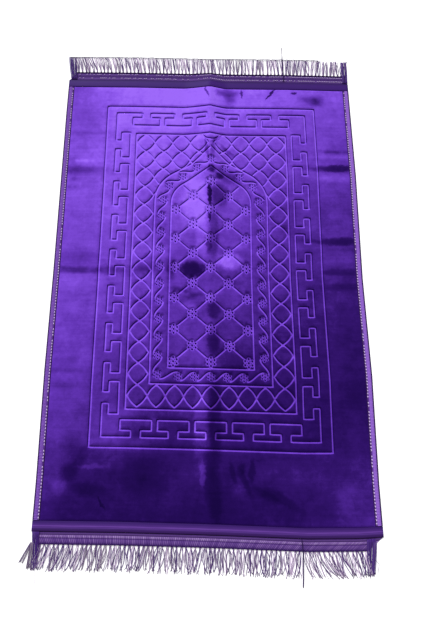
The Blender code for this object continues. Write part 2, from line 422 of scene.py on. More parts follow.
def patternLines():
    k, m = pattern, pattern["middleX"]
    lines = [
        (straightThrough(frameCorners(k["outerHalf"], k["outerNear"], k["outerFar"]), 5, True), True),
        (straightThrough(frameCorners(k["innerHalf"], k["innerNear"], k["innerFar"]), 5, True), True),
        (straightThrough(keyLine(), 5, True), True),
    ]
    opened = latticeLines() + fieldLines()
    arch = straightThrough(fromMiddle(archLine(**arches["niche"])), 3)
    opened += [arch, mirrored(arch)[:-1]]
    corners = [(0, k["nicheNear"]), (k["nicheHalf"], k["nicheNear"]), tuple(arch[0] - (m, 0))]
    upright = straightThrough(fromMiddle(corners), 5)
    opened += [upright, mirrored(upright)[1:]]
    inner = straightThrough(fromMiddle(archLine(**arches["field"])), 3)
    opened += [inner, mirrored(inner)[:-1]]
    corners = [(0, k["fieldNear"]), (k["fieldHalf"], k["fieldNear"]), tuple(inner[0] - (m, 0))]
    field = straightThrough(fromMiddle(corners), 5)
    opened += [field, mirrored(field)[1:]]
    centre, radius = finial["centre"], finial["radius"]
    dip = math.asin((centre - k["innerFar"]) / radius)
    turn = np.linspace(math.pi + dip, 2 * math.pi - dip, 16)
    opened.append(np.column_stack([m + radius * np.cos(turn), centre + radius * np.sin(turn)]))
    tie = straightThrough(fromMiddle([(k["rosetteStep"] + 9, 726), (65, 741)]), 4)
    opened += [tie, mirrored(tie)]
    flowers = vinePath()
    nearRow = [(-x, y) for x, y in flowers[3:0:-1]] + flowers[:4]
    opened += [vineStem(*fromMiddle([a, b]), **stems["side"]) for a, b in zip(nearRow, nearRow[1:])]
    for i in range(3, len(flowers) - 1):
        stem = vineStem(*fromMiddle(flowers[i:i + 2]), **stems["side" if i < 13 else "arch"])
        opened += [stem, mirrored(stem)]
    return lines + [(line, False) for line in opened]


def patternDots():
    # every little tuft left standing: across, along, size
    k, dots = pattern, []
    centres = [(x, y, 1.0) for x, y, _ in rosettes()]
    for x, y in fromMiddle(vinePath()):
        centres.append((x, y, k["flowerSize"]))
        if x > k["middleX"] + 1:
            centres.append((2 * k["middleX"] - x, y, k["flowerSize"]))
    for x, y, size in centres:
        dots.append((x, y, size))
        for i in range(6):
            turn, ring = math.pi / 2 + i * math.pi / 3, k["tuftRing"] * size
            dots.append((x + ring * math.cos(turn), y + ring * math.sin(turn), size))
    return dots


def smooth(low, high, value):
    t = np.clip((value - low) / (high - low), 0, 1)
    return t * t * (3 - 2 * t)


class Emboss:
    # answers how deep the cloth is pressed at any place
    def __init__(self):
        self.lines = patternLines()
        self.dots = np.array(patternDots())
        starts, ends = [], []
        for line, closed in self.lines:
            nexts = np.roll(line, -1, axis=0) if closed else line[1:]
            heads = line if closed else line[:-1]
            for a, b in zip(heads, nexts):
                count = max(1, math.ceil(np.linalg.norm(b - a) / 1.2))
                cuts = a + (b - a) * (np.arange(count + 1) / count)[:, None]
                starts += list(cuts[:-1])
                ends += list(cuts[1:])
        self.starts, self.ends = np.array(starts), np.array(ends)
        self.tree = KDTree(len(starts))
        for i, (a, b) in enumerate(zip(self.starts, self.ends)):
            self.tree.insert(((a[0] + b[0]) / 2, (a[1] + b[1]) / 2, 0), i)
        self.tree.balance()
        self.dotTree = KDTree(len(self.dots))
        for i, (x, y, _) in enumerate(self.dots):
            self.dotTree.insert((x, y, 0), i)
        self.dotTree.balance()

    def toLine(self, places):
        near = np.array([[f[1] for f in self.tree.find_n((x, y, 0), 3)] for x, y in places])
        best = np.full(len(places), 1e9)
        for j in range(near.shape[1]):
            a, b = self.starts[near[:, j]], self.ends[near[:, j]]
            d = b - a
            t = np.clip(((places - a) * d).sum(1) / np.maximum((d * d).sum(1), 1e-12), 0, 1)
            best = np.minimum(best, np.linalg.norm(places - a - t[:, None] * d, axis=1))
        return best

    def toDot(self, places):
        near = [self.dotTree.find((x, y, 0)) for x, y in places]
        sizes = self.dots[[f[1] for f in near], 2]
        return np.array([f[2] for f in near]) / sizes

    def pressed(self, places):
        k = pattern
        byLine = 1 - smooth(k["grooveFloor"], k["grooveTop"] - 0.1, self.toLine(places))
        r = self.toDot(places)
        patch = 1 - smooth(4.0, 5.0, r)
        tuft = 0.30 + 0.70 * smooth(k["tuftRadius"] - 0.7, k["tuftRadius"] + 0.6, r)
        return np.where(r < k["tuftRadius"] + 0.6, tuft, np.maximum(byLine, patch))

    def wallLightAndShade(self, places):
        # +1 where the pile falls away outwards from the near middle, -1 where it rises again: the first walls
        # take painted light, the second painted shade
        way = np.column_stack([(places[:, 0] - pattern["middleX"]) * 0.9, np.full(len(places), 260.0)])
        way *= 0.35 / np.linalg.norm(way, axis=1)[:, None]
        steepness = 1.6 * (self.pressed(places + way) - self.pressed(places - way)) / 0.7
        # the painted wall shade and light are weaker round the rosettes than along the long grooves
        return np.clip(steepness * (0.35 + 0.65 * smooth(5.2, 7.5, self.toDot(places))), -1, 1)

    def tufts(self, places):
        # mask of the standing tufts, which take painted shade
        return 1 - smooth(pattern["tuftRadius"] - 0.6, pattern["tuftRadius"] + 0.7, self.toDot(places))


def rowsBeside(line, closed, distance):
    # the line moved sideways, its corners mitred
    before = np.roll(line, 1, axis=0) if closed else np.vstack([2 * line[0] - line[1], line[:-1]])
    after = np.roll(line, -1, axis=0) if closed else np.vstack([line[1:], 2 * line[-1] - line[-2]])
    one, two = line - before, after - line
    one /= np.linalg.norm(one, axis=1)[:, None]
    two /= np.linalg.norm(two, axis=1)[:, None]
    n1, n2 = np.column_stack([-one[:, 1], one[:, 0]]), np.column_stack([-two[:, 1], two[:, 0]])
    return line + distance * (n1 + n2) / np.maximum(1 + (n1 * n2).sum(1), 0.5)[:, None]


def clothNet(emboss):
    # flat places of the pile's net: thick along every groove, thin between; joins keep the grooves crisp
    k = pattern
    half = rug["width"] / 2 / mm - 1.2
    ends = (-rug["clothLap"] / mm, (rug["pileLength"] + rug["clothLap"]) / mm)
    pileHalf = (rug["width"] / 2 - rug["bindingWidth"]) / mm
    length = rug["pileLength"] / mm
    places, joins = [], []

    def addRow(row, closed=False):
        first = len(places)
        places.extend(map(tuple, row))
        joins.extend((first + i, first + i + 1) for i in range(len(row) - 1))
        if closed:
            joins.append((first + len(row) - 1, first))

    rim = straightThrough([(-half, ends[0]), (half, ends[0]), (half, ends[1]), (-half, ends[1])], 8, True)
    addRow(rim, True)
    for x in (pileHalf + 0.3, pileHalf - 1.7):
        for side in (-1, 1):
            addRow(straightThrough([(side * x, ends[0] + 1), (side * x, ends[1] - 1)], 9))
    for y in (-0.3, 2.0, length - 2.0, length + 0.3):
        addRow(straightThrough([(-pileHalf + 3, y), (pileHalf - 3, y)], 9))

    for line, closed in emboss.lines:
        rows = [k[row] for row in ("grooveFloor", "grooveMiddle", "grooveTop")]
        for distance in (0.0, *(side * row for row in rows for side in (1, -1))):
            row = rowsBeside(line, closed, distance)
            keep = (emboss.toLine(row) > abs(distance) - 0.2) & (emboss.toDot(row) > 4.5)
            first = len(places)
            index = np.cumsum(keep) - 1
            places.extend(map(tuple, row[keep]))
            for i in range(len(row) - (0 if closed else 1)):
                j = (i + 1) % len(row)
                if keep[i] and keep[j]:
                    joins.append((first + int(index[i]), first + int(index[j])))
    for x, y, size in emboss.dots:
        places.append((x, y))
        for radius, count in ((k["tuftRadius"] - 0.6, 6), (k["tuftRadius"] + 0.6, 8), (4.0, 9), (5.0, 10)):
            turns = np.arange(count) * 2 * math.pi / count + radius
            ring = np.column_stack([x + radius * size * np.cos(turns), y + radius * size * np.sin(turns)])
            keep = emboss.toDot(ring) > radius - 0.15
            places.extend(map(tuple, ring[keep]))
    spread = random.Random(4)
    fill = []
    for j in range(int(length / 7.0)):
        for i in range(int(2 * pileHalf / 7.6)):
            across = -pileHalf + 5 + (i + 0.5 * (j % 2)) * 7.6 + spread.uniform(-1, 1)
            fill.append((across, 5.5 + j * 7.0 + spread.uniform(-1, 1)))
    for y in np.arange(4.5, length - 3, 4.5):
        for off in (-15, -10, -5, 0, 5, 10, 15, 20):
            fill.append((crease["crestX"] / mm + off, y))
    fill = np.array([f for f in fill if abs(f[0]) < pileHalf - 4])
    keep = (emboss.toLine(fill) > k["grooveTop"] + 1.6) & (emboss.toDot(fill) > 6.6)
    places.extend(map(tuple, fill[keep]))
    return places, joins, len(rim)


def triangles(places, joins):
    out, _, faces, original, *_ = delaunay_2d_cdt([Vector(p) for p in places], joins, [], 0, 1e-4)
    flat = np.array([tuple(v) for v in out])
    tri = np.array([f[:3] for f in faces])
    a, b, c = flat[tri[:, 0]], flat[tri[:, 1]], flat[tri[:, 2]]
    area = (b[:, 0] - a[:, 0]) * (c[:, 1] - a[:, 1]) - (b[:, 1] - a[:, 1]) * (c[:, 0] - a[:, 0])
    tri[area < 0] = tri[area < 0][:, ::-1]
    where = {}
    for i, sources in enumerate(original):
        for source in sources:
            where[source] = i
    return flat, tri[np.abs(area) > 1e-6], where


# painted light and shade where the cloth is carved: a groove floor lighter, partly its pressed pile's own
# paler look and partly painted sheen; its two walls, one with painted shade and one with painted light; and
# painted shade on a tuft left standing
carvingLightAndShade = dict(groove=0.64, grooveByTone=0.56, shadedWall=0.90, litWall=0.12, tuft=0.62)

# painted light over the pile, standing in for its sheen and the fall of light, with some lie of the pile: at
# the near end, its rise along, its slant across, and at the sides
paintedLightFall = dict(
    near=0.16, rise=0.84, slant=0.70, slantFrom=0.08, slantTo=0.25,
    sideAt=0.33, sidePower=2.0, sidePowerRise=0.5,
    leftNear=0.07, leftFall=0.53, rightFar=0.01, rightNear=0.32, rightFade=0.15,
)

# patches at least this soft are laid per vertex, crisper ones in the material
crispest = 0.6

# where folding and hands have laid the pile the other way, and painted shade and light at the fold's crest
# and the fold marks, on the rug as cut:
# across, along, half width, half length (mm), turn (degrees), softness of its edge, how much lighter
napPatches = (
    # far end
    (-4, 998, 2.5, 16, 18, 0.5, -0.45), (10, 996, 9, 14, 0, 0.4, 0.12),
    (44, 998, 27, 10, 2, 0.6, -0.36), (56, 984, 13, 10, 0, 0.6, -0.28),
    (52, 965, 12, 14, 0, 0.8, -0.18), (83, 996, 2.5, 12, 0, 0.4, -0.40),
    (155, 997, 3.0, 19, -42, 0.3, -0.55), (213, 1001, 7, 2.6, 12, 0.4, -0.45),
    (256, 980, 26, 11, -14, 0.6, -0.26), (272, 984, 14, 12, 30, 0.6, -0.18),
    (-290, 930, 46, 60, 0, 0.9, -0.06), (-290, 880, 50, 5, 4, 0.8, -0.10),
    (-150, 900, 12, 50, 4, 0.8, -0.05), (120, 880, 40, 9, 2, 0.8, -0.08),
    (110, 930, 60, 7, 3, 0.8, -0.07),
    # painted shade and light along the crest of the fold and beside it
    (3, 721, 4.5, 27, 0, 0.3, -0.65), (3, 661, 3.0, 12, 0, 0.4, -0.45),
    (26, 720, 19, 27, 0, 0.5, -0.30), (-32, 700, 30, 62, 0, 0.5, 0.22), (7, 784, 9, 9, 0, 0.4, -0.45),
    (25, 767, 10, 8, 0, 0.4, -0.40), (42, 771, 32, 16, -35, 0.5, -0.25),
    (14, 625, 10, 62, 0, 0.5, -0.20), (-14, 625, 13, 62, 0, 0.5, 0.15), (2, 590, 6, 20, 6, 0.5, -0.25),
    (-4, 840, 4, 30, 8, 0.5, -0.25), (12, 842, 5, 26, -10, 0.5, -0.20),
    (20, 868, 18, 4, 40, 0.5, -0.22), (44, 838, 22, 4, -42, 0.5, -0.22),
    (-26, 872, 20, 9, 0, 0.6, 0.18), (-36, 534, 26, 18, 0, 0.42, -0.52),
    (-84, 534, 10, 24, 0, 0.6, -0.28), (50, 554, 26, 18, 0, 0.45, 0.34),
    (64, 590, 22, 12, 10, 0.7, 0.12), (14, 440, 14, 18, 0, 0.5, -0.25),
    (12, 370, 13, 26, 0, 0.5, -0.25), (-30, 350, 30, 62, 0, 0.7, 0.12),
    (-34, 470, 22, 5, 12, 0.6, -0.22), (-64, 486, 20, 4, -8, 0.6, -0.20),
    (-40, 446, 24, 8, -6, 0.7, 0.16), (70, 470, 26, 30, 20, 0.6, 0.02),
    (60, 504, 24, 6, -14, 0.6, -0.14), (16, 210, 12, 90, 0, 0.5, -0.20),
    (-14, 190, 14, 90, 0, 0.5, 0.16), (13, 60, 15, 60, 8, 0.5, -0.18), (-10, 92, 6, 26, 0, 0.4, 0.16),
    (-60, 85, 50, 44, 0, 0.9, 0.10), (70, 300, 40, 60, 0, 0.9, -0.06),
    # broad changes of lie beside the key line and in the lattice
    (-322, 88, 26, 80, 0, 0.9, 0.15), (-203, 178, 40, 40, 0, 0.9, 0.13),
    (-112, 653, 26, 60, 0, 0.9, -0.10), (180, 684, 26, 60, 0, 0.9, -0.09),
    # strokes of a hand at the near middle
    (52, 98, 5, 22, 12, 0.5, -0.14), (70, 106, 8, 10, -20, 0.5, -0.16),
    (92, 104, 6, 22, -4, 0.4, -0.18), (80, 76, 6, 26, 22, 0.5, -0.16),
    (116, 60, 30, 8, -28, 0.5, -0.14), (150, 52, 34, 9, -32, 0.5, -0.16),
    (62, 70, 12, 16, 0, 0.6, 0.10), (-235, 118, 60, 20, 0, 0.8, 0.05),
    (-120, 90, 60, 30, -4, 0.7, -0.14), (-285, 92, 16, 18, 20, 0.5, -0.16),
    (-262, 120, 10, 24, -30, 0.6, -0.14), (-235, 104, 34, 5, 0, 0.5, 0.12),
    (-240, 60, 34, 12, -10, 0.5, -0.16), (-214, 34, 3, 14, 24, 0.4, -0.24),
    (-300, 66, 12, 16, 0, 0.6, 0.12), (-180, 150, 70, 10, 0, 0.7, 0.10),
    (150, 110, 60, 24, -10, 0.8, 0.08), (285, 52, 22, 26, 0, 0.7, 0.08),
    # marks of folding across the left margin and the right margin: crushed pile with painted crease shade and
    # light
    (-300, 806, 44, 3.0, 0, 0.6, 0.16), (-300, 779, 48, 9, 1, 0.7, -0.26),
    (-314, 752, 34, 2.5, 0, 0.6, -0.16), (-318, 737, 28, 3.0, 0, 0.6, -0.24),
    (-300, 556, 50, 24, 0, 0.9, -0.14), (-300, 527, 52, 7, -2, 0.6, -0.28),
    (-300, 500, 46, 14, 0, 0.7, 0.10), (-300, 300, 44, 3.0, 0, 0.6, -0.10),
    (-300, 268, 44, 8, 0, 0.8, -0.10), (302, 837, 44, 2.6, 0, 0.6, -0.22),
    (302, 825, 44, 5.0, 0, 0.6, 0.12), (302, 794, 48, 8.5, 1, 0.5, -0.36),
    (302, 768, 44, 9.0, 0, 0.6, 0.16), (300, 607, 48, 9.0, 0, 0.5, -0.26),
    (300, 566, 44, 14, 0, 0.7, 0.10), (300, 533, 44, 6.0, 0, 0.6, -0.18),
    (300, 498, 46, 8.0, 0, 0.6, -0.14), (226, 608, 24, 8, 0, 0.6, -0.14),
    (230, 794, 28, 8, 0, 0.6, -0.14), (-226, 529, 30, 8, 0, 0.6, -0.20),
    (-140, 532, 50, 10, 2, 0.8, -0.18),
)


def paintedLightAndNap(places):
    # painted light over the pile, from 0 to 1, standing in for its sheen and the fall of light: it fades
    # towards the near end, and at the two sides
    x, y = (places[:, 0] - pattern["middleX"]) * mm, places[:, 1] * mm
    middle = paintedLightFall["near"] + paintedLightFall["rise"] * y - paintedLightFall["slant"] * x * smooth(paintedLightFall["slantFrom"], paintedLightFall["slantTo"], y)
    side = np.clip(np.abs(x) / paintedLightFall["sideAt"], 0, 1) ** (paintedLightFall["sidePower"] + paintedLightFall["sidePowerRise"] * y)
    leftEdge = paintedLightFall["leftNear"] - paintedLightFall["leftFall"] * y * y
    rightEdge = paintedLightFall["rightFar"] + paintedLightFall["rightNear"] * np.exp(-np.maximum(y, 0) / paintedLightFall["rightFade"])
    tone = middle + side * np.where(x < 0, leftEdge, rightEdge)
    # patches wander with the same seed each time, because the noise otherwise starts from the clock
    noise.seed_set(7)
    wander = np.array([noise.noise_vector((px / 14, py / 14, 0.0)) for px, py in places])
    for x, y, wide, long, turn, soft, change in napPatches:
        if soft >= crispest:
            c, s = math.cos(math.radians(turn)), math.sin(math.radians(turn))
            dx, dy = places[:, 0] + 4 * wander[:, 0] - x, places[:, 1] + 3 * wander[:, 1] - y
            away = np.hypot((dx * c + dy * s) / wide, (-dx * s + dy * c) / long)
            tone = tone + change * (1 - smooth(1 - soft, 1 + soft, away))
    return np.clip(tone, 0, 1)


def topHeight(places, pressed):
    pileHalf = (rug["width"] / 2 - rug["bindingWidth"]) / mm
    length = rug["pileLength"] / mm
    x, y = np.abs(places[:, 0]), places[:, 1]
    z = np.full(len(places), rug["pileTop"]) - pressed * pattern["grooveDepth"] * mm
    z = np.where(x > pileHalf - 1, rug["squeezedTop"], z)
    return np.where((y < 1) | (y > length - 1), rug["backingTop"], z)


def underHeight(places):
    pileHalf = (rug["width"] / 2 - rug["bindingWidth"]) / mm
    x, y = np.abs(places[:, 0]), places[:, 1]
    squeezed = (x > pileHalf - 1) & (y > 1) & (y < rug["pileLength"] / mm - 1)
    return np.where(squeezed, rug["squeezedUnder"], 0.0)


def makePileCloth(finish):
    emboss = Emboss()
    places, joins, rimCount = clothNet(emboss)
    flat, tri, where = triangles(places, joins)
    pressed = emboss.pressed(flat)
    top = layAll(np.column_stack([flat * mm, topHeight(flat, pressed)]))
    # the underside is plain backing on the same rim
    half, length = rug["width"] / 2 / mm, rug["pileLength"] / mm
    backPlaces = places[:rimCount]
    backJoins = [(i, (i + 1) % rimCount) for i in range(rimCount)]
    for y in np.arange(-8, length + 10, 14):
        nearFold = [4.5 + off for off in (-30, -20, -10, 0, 10, 20, 30)]
        across = list(np.arange(-half + 17, half - 16, 18)) + nearFold
        backPlaces = backPlaces + [(x, y) for x in across]
        backPlaces = backPlaces + [(side * (half - 14 - d), y) for side in (-1, 1) for d in (0.0, 2.4)]
    backFlat, backTri, backWhere = triangles(backPlaces, backJoins)
    back = layAll(np.column_stack([backFlat * mm, underHeight(backFlat)]))
    base = len(top)
    rimTop, rimBack = [where[i] for i in range(rimCount)], [base + backWhere[i] for i in range(rimCount)]
    faces = [tuple(map(int, t)) for t in tri] + [tuple(int(base + v) for v in t[::-1]) for t in backTri]
    for i in range(rimCount):
        j = (i + 1) % rimCount
        faces.append((rimTop[j], rimTop[i], rimBack[i], rimBack[j]))
    tone, wallLightAndShade = paintedLightAndNap(flat), emboss.wallLightAndShade(flat)
    c = carvingLightAndShade
    paintedWallShading = np.where(wallLightAndShade < 0, c["shadedWall"], c["litWall"]) * wallLightAndShade
    # painted sheen on groove floors, painted light and shade on the walls, painted shade on the tufts
    carvedLightAndShade = pressed * (c["groove"] - c["grooveByTone"] * tone) + paintedWallShading - c["tuft"] * emboss.tufts(flat)
    shades = np.zeros((len(top) + len(back), 4))
    shades[:, 3] = 1
    # red: painted light over the pile with the nap patches; green: the carving's painted light and shade
    shades[:base, 0], shades[:base, 1] = tone, carvedLightAndShade * 0.5 + 0.5
    shades[base:] = (0.3, 0.5, 0.0, 1.0)
    print("pile cloth:", len(faces), "faces")
    return meshPiece("pileCloth", np.vstack([top, back]), faces, finish, shades)


# strips: bindings, bands, headings
def gridFaces(rows, columns, flip=False):
    faces = []
    for r in range(rows - 1):
        for c in range(columns - 1):
            a, b = r * columns + c, r * columns + c + 1
            quad = (a, b, b + columns, a + columns)
            faces.append(quad[::-1] if flip else quad)
    return faces


binding = dict(
    ribPitch=0.0030, ribHeight=0.00035, crown=0.0007, darkEdge=0.0024,
    stitchPitch=0.0064, stitchLength=0.0040,
)


def makeBinding(name, side, finish):
    # overlocked strip: a closed loop of places round the section, repeated along the edge
    b, inner, outer = binding, rug["width"] / 2 - rug["bindingWidth"], rug["width"] / 2
    top = rug["squeezedTop"] + 0.0009
    around = (
        (inner, 0.0006), (inner, 0.0), ((inner + outer) / 2, 0.0), (outer - 0.0008, 0.0), (outer, 0.0009),
        (outer, top - 0.0008), (outer - 0.0010, top + 0.0002), (outer - b["darkEdge"] - 0.0002, top + 0.0001),
        (outer - b["darkEdge"] - 0.0014, top + 0.6 * b["crown"]), (outer - 0.0068, top + b["crown"]),
        (outer - 0.0098, top + 0.5 * b["crown"]), (outer - 0.0110, top),
        (outer - 0.0124, top + 0.3 * b["crown"]), (inner + 0.0013, top - 0.0001), (inner, top - 0.0006),
        (inner, top - 0.0012), (outer - 0.0014, top - 0.0012), (outer - 0.0014, 0.0006),
    )
    ribbed = range(8, 11)
    # darkness round the section: the outer edge where it turns over is dark, the line beside the pile is
    # painted shadow, the stitch-hole row painted shade, the rest is pale
    pale = 0.30 if side < 0 else 0.06
    base = (1, 1, 1, 1, 1, 1, 1.0, 0.92, pale, pale, pale, 0.72, 0.62, 1.0, 1, 1, 1, 1)
    start, end = 0.0012, rug["pileLength"] - 0.0012
    rows = round((end - start) / (b["ribPitch"] / 4))
    rows -= rows % 4
    points, shades = [], []
    for r in range(rows + 1):
        y = start + (end - start) * r / rows
        swell = (0.0, 0.7, 1.0, 0.7)[r % 4]
        for i, (x, z) in enumerate(around):
            lift = b["ribHeight"] * swell if i in ribbed else 0.0
            points.append((side * x, y, z + lift))
            # painted shade between the ribs
            shades.append((min(1.0, base[i] + (0.30 * (1 - swell) if i in ribbed else 0.0)), swell, 0, 1))
    count = len(around)
    faces = []
    for r in range(rows):
        for c in range(count):
            a, d = r * count + c, r * count + (c + 1) % count
            quad = (a, d, d + count, a + count)
            faces.append(quad if side < 0 else quad[::-1])
    caps = [tuple(range(count)), tuple(rows * count + i for i in range(count))]
    faces += [caps[0][::-1] if side < 0 else caps[0], caps[1] if side < 0 else caps[1][::-1]]
    piece = meshPiece(name, layAll(points), faces, finish, shades)
    return piece


band = dict(ribs=((0.30, 0.00016), (0.52, 0.00022), (0.62, 0.00018)), rows=14, step=0.006)


def makeBand(name, outwards, finish):
    # satin tape: flat on the end of the cloth, its edges turned in, its corners turned down
    edge = 0.0 if outwards < 0 else rug["pileLength"]
    half, under = rug["width"] / 2, rug["bandTop"] - 0.0009
    columns = round(rug["width"] / band["step"])
    spread = random.Random(11 if outwards < 0 else 12)
    wobble = [spread.uniform(-1, 1) for _ in range(columns + 3)]
    points, shades = [], []
    for r in range(band["rows"] + 1):
        t = r / band["rows"]
        for c in range(-2, columns + 3):
            x = max(-half, min(half, -half + rug["width"] * c / columns))
            edgeRound = 0.0007 * (1 - min(1, min(t, 1 - t) * band["rows"] / 1.5)) ** 2
            lines = sum(height * math.exp(-((t - at) / 0.035) ** 2) for at, height in band["ribs"])
            z = rug["bandTop"] + 0.00035 * math.sin(math.pi * t) + lines - edgeRound
            z += 0.00010 * wobble[c % len(wobble)] * math.sin(math.pi * t)
            out = -0.0004 + t * (rug["bandWidth"] + 0.0006)
            if c in (-2, columns + 2):
                z = 0.0002
            elif c in (-1, columns + 1):
                z = min(z, 0.0022)
            elif c in (0, columns):
                x = math.copysign(half - 0.0008, x)
            points.append((x, edge + outwards * out, z))
            shades.append((t, 0, 0, 1))
    wide = columns + 5
    top = len(points)
    for r in range(band["rows"] + 1):
        t = r / band["rows"]
        for c in range(-2, columns + 3):
            x = max(-half + 0.0009, min(half - 0.0009, -half + rug["width"] * c / columns))
            out = -0.0002 + t * (rug["bandWidth"] + 0.0002)
            z = 0.0002 if c in (-2, columns + 2) else under
            points.append((x, edge + outwards * out, z))
            shades.append((t, 0, 0, 1))
    faces = gridFaces(band["rows"] + 1, wide, outwards < 0)
    faces += [tuple(top + v for v in f[::-1]) for f in gridFaces(band["rows"] + 1, wide, outwards < 0)]
    ring = [*range(wide), *[r * wide + wide - 1 for r in range(1, band["rows"] + 1)],
            *[band["rows"] * wide + c for c in range(wide - 2, -1, -1)],
            *[r * wide for r in range(band["rows"] - 1, 0, -1)]]
    for a, b in zip(ring, ring[1:] + ring[:1]):
        quad = (b, a, top + a, top + b)
        faces.append(quad if outwards > 0 else quad[::-1])
    return meshPiece(name, layAll(points), faces, finish, shades)


# share of the heading's width, height over its base (mm), darkness, how ribbed
# the darkest rows next to the band are painted shade where the tape turns down onto the heading
headings = {
    "near": dict(outwards=-1, ribPitch=0.0038, rootFrom=-0.336, rootTo=0.318, yarnLength=0.0500, profile=(
        (-0.08, 1.10, 1.0, 0.0), (0.02, 0.9, 1.0, 0.0), (0.08, 1.1, 0.55, 0.0), (0.19, 1.1, 0.50, 0.0),
        (0.23, 0.5, 0.90, 0.0), (0.27, 1.2, 0.18, 0.5), (0.35, 1.35, 0.05, 0.9), (0.45, 1.2, 0.15, 0.9),
        (0.495, 0.75, 0.95, 0.2), (0.54, 1.2, 0.35, 0.9), (0.64, 1.4, 0.25, 1.0),
        (0.76, 1.4, 0.30, 1.0), (0.87, 1.2, 0.45, 1.0), (0.93, 0.9, 0.9, 0.2), (1.0, 0.8, 1.0, 0.0))),
    "far": dict(outwards=1, ribPitch=0.0033, rootFrom=-0.332, rootTo=0.350, yarnLength=0.0470, profile=(
        (-0.08, 1.10, 1.0, 0.0), (0.02, 0.9, 1.0, 0.0), (0.10, 1.1, 0.80, 0.0), (0.19, 1.15, 0.55, 0.2),
        (0.27, 1.2, 0.40, 0.3), (0.35, 1.15, 0.60, 0.2), (0.50, 1.15, 0.80, 0.3),
        (0.64, 1.2, 0.60, 0.3), (0.73, 1.25, 0.40, 0.4), (0.81, 1.2, 0.60, 0.3), (0.90, 0.9, 0.95, 0.1),
        (1.0, 0.8, 1.0, 0.0))),
}


def trimBase(out):
    # height of the trim's underside, from its lap under the band down to the floor
    return float(np.interp(out, (rug["bandWidth"], rug["bandWidth"] + 0.0045), (0.0013, 0.0)))


def headingX(x, share, heading):
    # the trim's ends are turned under, so its root line can be shorter than the band
    widest = rug["width"] / 2 - 0.0012
    share = min(1.0, max(0.0, share))
    left = -widest * (1 - share) + max(heading["rootFrom"], -widest) * share
    right = widest * (1 - share) + min(heading["rootTo"], widest) * share
    return left + (x + widest) / (2 * widest) * (right - left)


def makeHeading(end, finish):
    h = headings[end]
    edge = 0.0 if h["outwards"] < 0 else rug["pileLength"]
    widest = rug["width"] / 2 - 0.0012
    columns = round(2 * widest / (h["ribPitch"] / 4))
    columns -= columns % 4
    spread = random.Random(21 if end == "near" else 22)
    strength = [spread.uniform(0.55, 1.15) for _ in range(columns // 4 + 2)]
    points, shades = [], []
    for share, height, dark, ribs in h["profile"]:
        out = rug["bandWidth"] + share * rug["headingWidth"]
        for c in range(columns + 1):
            x = -widest + 2 * widest * c / columns
            swell = (0.0, 0.75, 1.0, 0.75)[c % 4] * strength[c // 4]
            z = trimBase(out) + height * mm + 0.00030 * ribs * swell
            points.append((headingX(x, share, h), edge + h["outwards"] * out, z))
            # darker between the ribs: painted shade
            shades.append((min(1.0, dark + 0.55 * ribs * (1 - swell)), swell * ribs, 0, 1))
    wide, rows, top = columns + 1, len(h["profile"]), len(points)
    # a plain back with its own few columns would leave gaps, so the back repeats the rim only
    faces = gridFaces(rows, wide, h["outwards"] < 0)
    ring = [*range(wide), *[r * wide + wide - 1 for r in range(1, rows)],
            *[(rows - 1) * wide + c for c in range(wide - 2, -1, -1)],
            *[r * wide for r in range(rows - 2, 0, -1)]]
    for v in ring:
        x, y, _ = points[v]
        out = abs(y - edge)
        points.append((x, y, trimBase(out) + 0.0001))
        shades.append((0.8, 0, 0, 1))
    for i in range(len(ring)):
        j = (i + 1) % len(ring)
        quad = (ring[j], ring[i], top + i, top + j)
        faces.append(quad if h["outwards"] > 0 else quad[::-1])
    # back: strips between the lap's rim and the root's rim
    for c in range(columns):
        a, b = top + c, top + c + 1
        far = top + wide + rows - 2 + (columns - c)
        quad = (b, a, far, far - 1)
        faces.append(quad if h["outwards"] > 0 else quad[::-1])
    leftSide = [top + wide + rows - 2 + columns + i for i in range(1, rows - 1)]
    rightSide = [top + wide - 1 + i for i in range(1, rows - 1)]
    faces.append(tuple([top] + leftSide[::-1] + [top + wide + rows - 2 + columns]) if h["outwards"] < 0
                 else tuple([top + wide + rows - 2 + columns] + leftSide + [top]))
    faces.append(tuple([top + wide - 1] + rightSide + [top + wide + rows - 2]) if h["outwards"] < 0
                 else tuple([top + wide + rows - 2] + rightSide[::-1] + [top + wide - 1]))
    return meshPiece("heading" + end.capitalize(), layAll(points), faces, finish, shades)


# threads and yarns
def tubePiece(name, routes, finish, sides=5):
    # each route is a list of (x, y, z, radius) cut places, with its shade; together they make one mesh
    points, faces, shades = [], [], []
    for route, shade in routes:
        line = np.array(route, float)
        laid = layAll(line[:, :3])
        tangents = np.gradient(laid, axis=0)
        tangents /= np.linalg.norm(tangents, axis=1)[:, None]
        across = np.cross(tangents, (0.0, 0.0, 1.0))
        across /= np.maximum(np.linalg.norm(across, axis=1), 1e-9)[:, None]
        upward = np.cross(across, tangents)
        first = len(points)
        for place, a, u, radius in zip(laid, across, upward, line[:, 3]):
            for s in range(sides):
                turn = 2 * math.pi * (s + 0.5) / sides
                points.append(place + radius * (a * math.cos(turn) + u * math.sin(turn)))
        shades += [(*shade, 1)] * (len(line) * sides)
        for r in range(len(line) - 1):
            for s in range(sides):
                a, b = first + r * sides + s, first + r * sides + (s + 1) % sides
                faces.append((a, b, b + sides, a + sides))
        faces.append(tuple(first + s for s in range(sides))[::-1])
        faces.append(tuple(first + (len(line) - 1) * sides + s for s in range(sides)))
    return meshPiece(name, points, faces, finish, shades)


def throughPlaces(places, count):
    # a thread's route: a smooth curve through a few (x, y, z, radius) places
    p = np.array(places, float)
    t = np.linspace(0, 1, len(p))
    fine = np.linspace(0, 1, count)
    if len(p) == 3:
        a, b, c = p
        return [(1 - s) * (1 - s) * a + 2 * s * (1 - s) * (2 * b - (a + c) / 2) + s * s * c for s in fine]
    return [np.array([np.interp(s, t, p[:, i]) for i in range(4)]) for s in fine]


